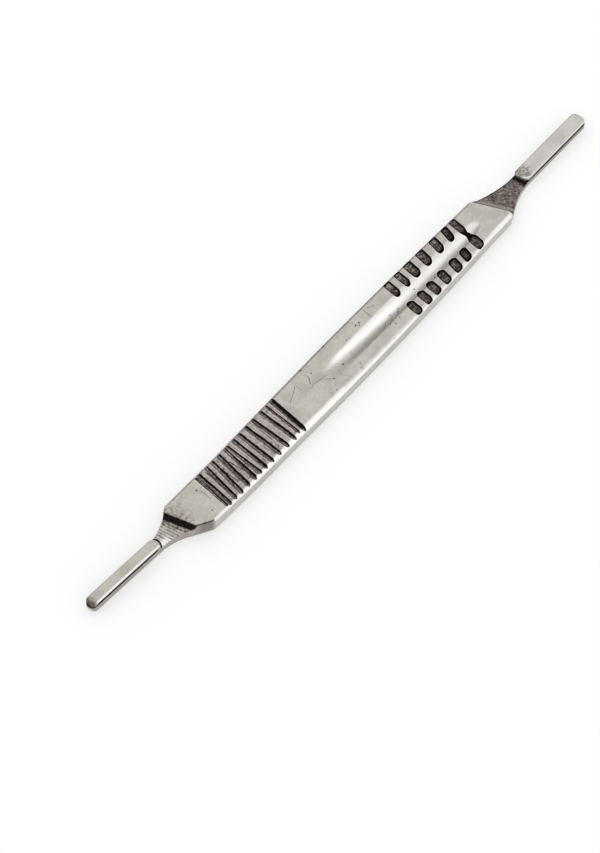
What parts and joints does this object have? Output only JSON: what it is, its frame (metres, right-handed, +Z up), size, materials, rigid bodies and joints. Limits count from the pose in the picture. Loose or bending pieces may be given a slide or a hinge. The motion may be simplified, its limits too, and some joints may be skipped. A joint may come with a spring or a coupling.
{
  "type": "scalpel handle",
  "caption": "Double-ended steel scalpel handle: flat gripped body with filed cross grooves, a long channel and split cross cuts, and a slotted blade fitting at each end",
  "frame": {"origin": "bottom centre of the bounding box, on the back face that the handle lies on", "axes": "+X along the length, toward the end with the wide blade fitting; +Y across the width; +Z up, out of the gripped face"},
  "size_m": [0.16, 0.011, 0.004],
  "materials": {
    "steel": "worn satin steel, dark in the cuts"
  },
  "bodies": {
    "root": {"handle": "steel"}
  },
  "joints": []
}
